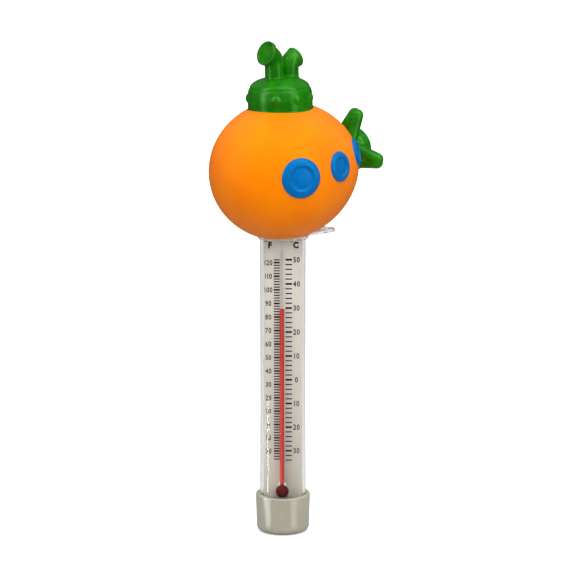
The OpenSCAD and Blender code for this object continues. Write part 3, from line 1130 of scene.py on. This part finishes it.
def matt(tree, grey):
    made = tree.nodes.new("ShaderNodeBsdfDiffuse")
    made.inputs["Color"].default_value = (grey, grey, grey, 1)
    return made.outputs[0]


def add_world():
    """An even white surround, brighter overhead, whose reflections are much dimmer."""
    world = bpy.data.worlds.new("studio")
    bpy.context.scene.world = world
    world.use_nodes = True
    tree = world.node_tree
    place = add_node(tree, "ShaderNodeTexCoord").outputs["Generated"]
    height = add_node(tree, "ShaderNodeSeparateXYZ", place).outputs["Z"]
    rays = add_node(tree, "ShaderNodeLightPath").outputs
    mirrored = without(tree, rays["Is Glossy Ray"], rays["Is Transmission Ray"])
    chosen = add_node(tree, "ShaderNodeMix")
    tree.links.new(mirrored, chosen.inputs["Factor"])
    tree.links.new(ranged(tree, height, 0.8, 1.5), chosen.inputs["A"])
    tree.links.new(ranged(tree, height, 0.03, 0.3), chosen.inputs["B"])
    background = tree.nodes["Background"]
    background.inputs["Color"].default_value = (1, 1, 1, 1)
    tree.links.new(chosen.outputs["Result"], background.inputs["Strength"])


def add_softbox(name, azimuth, elevation, distance, size, radiance, target=(0, 0, 0.12)):
    """A rectangular light that looks at the object. Azimuth 0 is in front, 90 to the right."""
    data = bpy.data.lights.new(name, "AREA")
    data.shape = "RECTANGLE"
    data.size, data.size_y = size
    data.energy = radiance * math.pi * size[0] * size[1]
    light = add_object(name, data)
    a, e = azimuth * DEGREE, elevation * DEGREE
    away = Vector((math.sin(a) * math.cos(e), -math.cos(a) * math.cos(e), math.sin(e)))
    aim(light, Vector(target) + away * distance, Vector(target))
    light.visible_camera = False
    return light


def add_lights():
    """Soft light from above and in front, and boxes hidden from the camera and from matt surfaces, which show
    in reflections and through the clear plastic.

    The reflection boxes are each (name, azimuth, elevation, distance, size, radiance, height
    of the target). The last three are narrow strips close to the tube and the cap.
    """
    add_softbox("overhead", 25, 62, 1.2, (0.9, 0.9), 1.8)
    front = add_softbox("front_fill", 12, 22, 1.6, (1.3, 1.3), 1.5)
    front.visible_glossy = False
    front.visible_transmission = False
    reflections = (
        ("left_strip", -62, 20, 1.0, (0.3, 1.5), 5.0, 0.12),
        ("right_box", 53, 22, 1.0, (0.34, 1.4), 3.5, 0.12),
        ("tube_strip", -75.5, 0, 0.058, (0.0035, 0.049), 50.0, 0.025),
        ("cap_strip_left", -50, 0, 0.02, (0.0066, 0.0145), 4.6, 0.0073),
        ("cap_strip_right", 35, 0, 0.02, (0.0066, 0.0145), 2.2, 0.0073),
    )
    for *settings, height in reflections:
        box = add_softbox(*settings, target=(0, 0, height))
        box.visible_diffuse = False


def add_floor():
    """A large pale floor. It looks white, and throws back less light than white card would."""
    half = 8.0
    corners = [(-half, -half, 0), (half, -half, 0), (half, half, 0), (-half, half, 0)]
    mesh = bpy.data.meshes.new("floor")
    mesh.from_pydata(corners, [], [(0, 1, 2, 3)])
    floor = add_object("floor", mesh)
    floor.location.z = -0.0002
    pale = bpy.data.materials.new("pale_floor")
    pale.use_nodes = True
    tree = pale.node_tree
    tree.nodes.remove(tree.nodes["Principled BSDF"])
    seen = add_node(tree, "ShaderNodeEmission")
    seen.inputs["Strength"].default_value = 0.3
    bright = add_node(tree, "ShaderNodeAddShader", seen.outputs[0], matt(tree, 0.9))
    place = add_node(tree, "ShaderNodeTexCoord").outputs["Object"]
    distance = add_node(tree, "ShaderNodeVectorMath", place, operation="LENGTH").outputs["Value"]
    # Painted pool of light: in reflections the floor is lighter close to the object and darker further out.
    painted_light_pool = ranged(tree, distance, 0.4, 0.06, 0.08, 0.4)
    reflected = add_node(tree, "ShaderNodeBsdfDiffuse", painted_light_pool)
    rays = add_node(tree, "ShaderNodeLightPath").outputs
    through_glass = without(tree, rays["Is Transmission Ray"], rays["Diffuse Depth"])
    mirrored = without(tree, rays["Is Glossy Ray"], rays["Is Transmission Ray"])
    shown = either(tree, through_glass, matt(tree, 0.36), matt(tree, 0.52))
    shown = either(tree, mirrored, shown, reflected.outputs[0])
    shown = either(tree, rays["Is Camera Ray"], shown, bright.outputs[0])
    tree.links.new(shown, tree.nodes["Material Output"].inputs["Surface"])
    mesh.materials.append(pale)


# -------------------------------- putting it together
def fit(thing, material, slot, *nodes, body="thermometer"):
    """Gives a piece its material and the body it rides on, and hides the CAD nodes it stands for. The slot is
    not used.
    """
    thing.data.materials.clear()
    thing.data.materials.append(material)
    if body:
        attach(thing, body)
    if nodes:
        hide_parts(*nodes)
    return thing


def keep_node(node, material):
    """A CAD node that stays, with a material of its own."""
    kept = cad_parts[node]
    for index in range(len(kept.material_slots)):
        kept.material_slots[index].material = material


def build_float():
    green = worn_green()
    blue = paint_blue()
    fit(hull_piece(), vinyl_orange(), "float_orange", "float_hull")
    fit(tower_piece(), green, "float_green", "conning_tower")
    fit(cowl_piece("cowl_fore_horn", *FORE_COWL), green, "float_green", "cowl_fore")
    fit(cowl_piece("cowl_aft_horn", *AFT_COWL), green, "float_green", "cowl_aft")
    fit(propeller_piece(), green, "float_green", "propeller")
    for side_name, side in (("stbd", -1), ("port", 1)):
        for index, place in enumerate(PORTHOLE_NAMES):
            ring = porthole_piece(index, side_name, side)
            fit(ring, blue, "float_blue", f"porthole_{side_name}_{place}")


def build_tube():
    fit(tube_piece(), tube_plastic(), "clear_tube", "tube")
    fit(collar_piece(), collar_clear(), "clear_collar", "tether_collar")
    fit(cap_piece(), cap_grey(), "cap", "end_cap")
    keep_node("head_plug", plug_white())
    keep_node("bulb_cushion", foam_grey())
    keep_node("ballast_slug", steel_slug())


def build_thermometer():
    fit(stem_piece(), stem_glass(), "glass", "glass_stem")
    red = spirit_red()
    fit(bulb_piece(), spirit_dark(), "spirit", "spirit_bulb")
    thread = fit(thread_piece(), red, "spirit", "spirit_thread", body=None)
    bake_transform(thread)
    fit(meniscus_piece(), red, "spirit", "meniscus", body="thread_top")


def build_scale():
    black = print_black()
    keep_node("scale_card", card_white())
    fahrenheit = tick_bars(range(-26, 123, 2), fahrenheit_height, FAHRENHEIT_SPAN)
    celsius = tick_bars(range(-34, 51, 2), celsius_height, CELSIUS_SPAN)
    left = [
        (str(abs(value)), FAHRENHEIT_MIDDLE, fahrenheit_height(value) - FAHRENHEIT_FIGURE / 2)
        for value in range(-20, 121, 10)
    ]
    right = [
        (str(abs(value)), CELSIUS_MIDDLE, celsius_height(value) - CELSIUS_FIGURE / 2)
        for value in range(-30, 51, 10)
    ]
    headings = [("F", -5.45, HEADING_FOOT), ("C", 5.55, HEADING_FOOT)]
    for printed in (
        boxes("print_fahrenheit_ticks", fahrenheit),
        boxes("print_celsius_ticks", celsius),
        lettering("print_fahrenheit_numbers", left, FAHRENHEIT_FIGURE, 0.8, 0.028, 0.2),
        lettering("print_celsius_numbers", right, CELSIUS_FIGURE, 0.8, 0.028, 0.3),
        lettering("print_headings", headings, HEADING_FIGURE, 0.92, 0.06, 0.3),
        degree_rings(),
    ):
        fit(printed, black, "card")


bpy.context.scene.view_settings.view_transform = "Standard"
add_camera()
add_world()
add_lights()
add_floor()
build_float()
build_tube()
build_thermometer()
build_scale()
